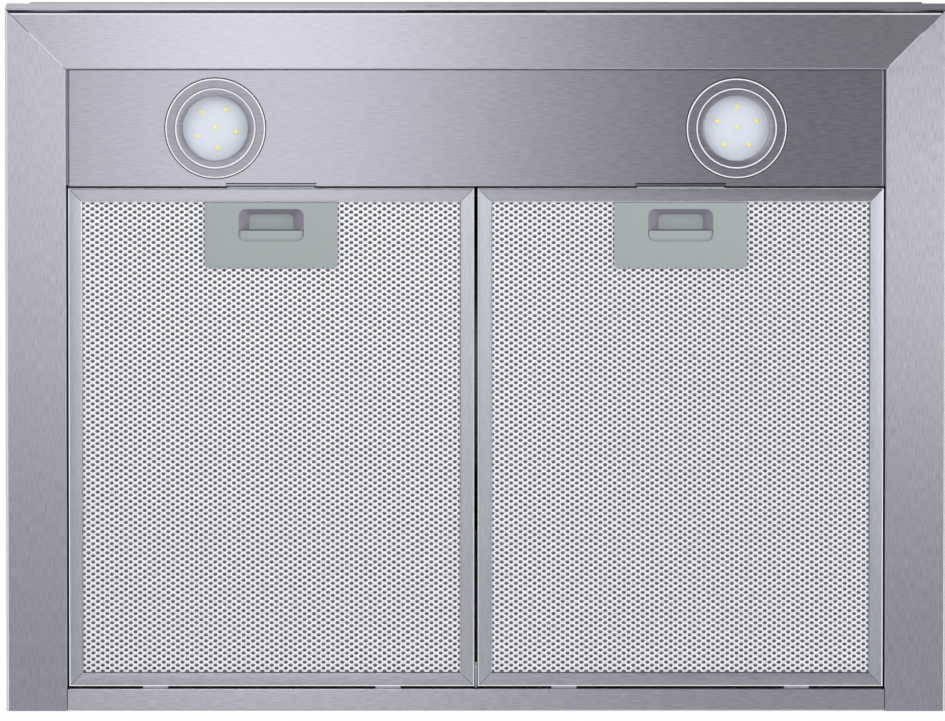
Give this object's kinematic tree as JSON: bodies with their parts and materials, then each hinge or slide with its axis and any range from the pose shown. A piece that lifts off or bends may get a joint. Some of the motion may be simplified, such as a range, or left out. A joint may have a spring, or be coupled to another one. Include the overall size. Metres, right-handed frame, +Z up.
{
  "type": "range hood insert",
  "caption": "Stainless range hood insert with mesh grease filters, round LED lamps, double-inlet blower and a round duct collar with flaps.",
  "frame": {"origin": "middle of the underside, at the level of the rim's visible face", "axes": "+Z up, +X to the right of a cook standing at the front, -Y to the front"},
  "size_m": [0.6, 0.45, 0.3],
  "materials": {
    "stainless": "brushed stainless sheet, grain along each piece",
    "bezel_steel": "straight-brushed spun ring",
    "zinc_sheet": "galvanised sheet with a faint spangle",
    "lens_plastic": "frosted diffuser",
    "led_board": "white solder mask with pale yellow chips",
    "lamp_casting": "cast, finned",
    "filter_frame": "mill-finish channel",
    "filter_mesh": "expanded metal, bright",
    "latch_plastic": "moulded grey-green plastic",
    "spring_steel": "drawn wire",
    "impeller_plastic": "moulded black plastic",
    "motor_enamel": "dark grey enamel",
    "shaft_steel": "ground steel",
    "duct_plastic": "moulded black plastic, satin",
    "button_metal": "satin metallised cap",
    "switch_plastic": "black moulded plastic",
    "junction_plastic": "light grey moulded plastic",
    "screw_zinc": "bright zinc"
  },
  "bodies": {
    "hood": {"front_rail": "stainless", "left_stile": "stainless", "right_stile": "stainless", "rear_rail": "stainless", "front_fascia": "stainless", "lamp_panel": "stainless", "lamp_bezel_left": "bezel_steel", "lamp_bezel_right": "bezel_steel", "cabinet_flange": "zinc_sheet", "filter_divider": "zinc_sheet", "liner_front": "zinc_sheet", "liner_rear": "zinc_sheet", "liner_left": "zinc_sheet", "liner_right": "zinc_sheet", "liner_top": "zinc_sheet", "scroll_wrap": "zinc_sheet", "scroll_cheek_left": "zinc_sheet", "scroll_cheek_right": "zinc_sheet", "inlet_ring_left": "zinc_sheet", "inlet_ring_right": "zinc_sheet", "motor_spider": "zinc_sheet", "lamp_clips_left": "zinc_sheet", "lamp_clips_right": "zinc_sheet", "lamp_lens_left": "lens_plastic", "lamp_lens_right": "lens_plastic", "lamp_board_left": "led_board", "lamp_board_right": "led_board", "lamp_body_left": "lamp_casting", "lamp_body_right": "lamp_casting", "motor": "motor_enamel", "damper_pin": "shaft_steel", "duct_collar": "duct_plastic", "switch_housing": "switch_plastic", "cable_gland": "switch_plastic", "junction_box": "junction_plastic", "junction_lid": "junction_plastic", "case_screws": "screw_zinc", "collar_screws": "screw_zinc"},
    "filter_left": {"filter_frame_left": "filter_frame", "filter_mesh_left": "filter_mesh", "filter_core_left": "filter_mesh", "filter_hooks_left": "filter_frame", "latch_plate_left": "latch_plastic", "latch_spring_left": "spring_steel"},
    "filter_right": {"filter_frame_right": "filter_frame", "filter_mesh_right": "filter_mesh", "filter_core_right": "filter_mesh", "filter_hooks_right": "filter_frame", "latch_plate_right": "latch_plastic", "latch_spring_right": "spring_steel"},
    "latch_left": {"latch_slider_left": "latch_plastic"},
    "latch_right": {"latch_slider_right": "latch_plastic"},
    "fan": {"impeller": "impeller_plastic", "motor_shaft": "shaft_steel"},
    "flap_front": {"damper_flap_front": "duct_plastic"},
    "flap_rear": {"damper_flap_rear": "duct_plastic"},
    "button_light": {"light_button": "button_metal"},
    "button_low": {"low_speed_button": "button_metal"},
    "button_mid": {"mid_speed_button": "button_metal"},
    "button_high": {"high_speed_button": "button_metal"}
  },
  "joints": [
    {"name": "filter_left_swing", "type": "hinge", "parent": "hood", "child": "filter_left", "pos_m": [-0.13045, 0.2115, 0.0015], "axis": [1, 0, 0], "range_deg": [0, 75]},
    {"name": "latch_left_slide", "type": "slide", "parent": "filter_left", "child": "latch_left", "axis": [0, 1, 0], "range_m": [0, 0.005], "stiffness_N_per_m": 300, "springref_m": -0.004, "deforming": ["latch_spring_left"]},
    {"name": "filter_right_swing", "type": "hinge", "parent": "hood", "child": "filter_right", "pos_m": [0.13045, 0.2115, 0.0015], "axis": [1, 0, 0], "range_deg": [0, 75]},
    {"name": "latch_right_slide", "type": "slide", "parent": "filter_right", "child": "latch_right", "axis": [0, 1, 0], "range_m": [0, 0.005], "stiffness_N_per_m": 300, "springref_m": -0.004, "deforming": ["latch_spring_right"]},
    {"name": "fan_spin", "type": "hinge", "parent": "hood", "child": "fan", "pos_m": [0, 0, 0.13], "axis": [1, 0, 0], "continuous": true},
    {"name": "flap_front_swing", "type": "hinge", "parent": "hood", "child": "flap_front", "pos_m": [0, 0.06103, 0.272], "axis": [-1, 0, 0], "range_deg": [0, 80]},
    {"name": "flap_rear_swing", "type": "hinge", "parent": "hood", "child": "flap_rear", "pos_m": [0, 0.06103, 0.272], "axis": [1, 0, 0], "range_deg": [0, 80]},
    {"name": "light_press", "type": "slide", "parent": "hood", "child": "button_light", "axis": [0, 1, 0], "range_m": [0, 0.0025], "stiffness_N_per_m": 400, "springref_m": -0.002},
    {"name": "low_press", "type": "slide", "parent": "hood", "child": "button_low", "axis": [0, 1, 0], "range_m": [0, 0.0025], "stiffness_N_per_m": 400, "springref_m": -0.002},
    {"name": "mid_press", "type": "slide", "parent": "hood", "child": "button_mid", "axis": [0, 1, 0], "range_m": [0, 0.0025], "stiffness_N_per_m": 400, "springref_m": -0.002},
    {"name": "high_press", "type": "slide", "parent": "hood", "child": "button_high", "axis": [0, 1, 0], "range_m": [0, 0.0025], "stiffness_N_per_m": 400, "springref_m": -0.002}
  ]
}
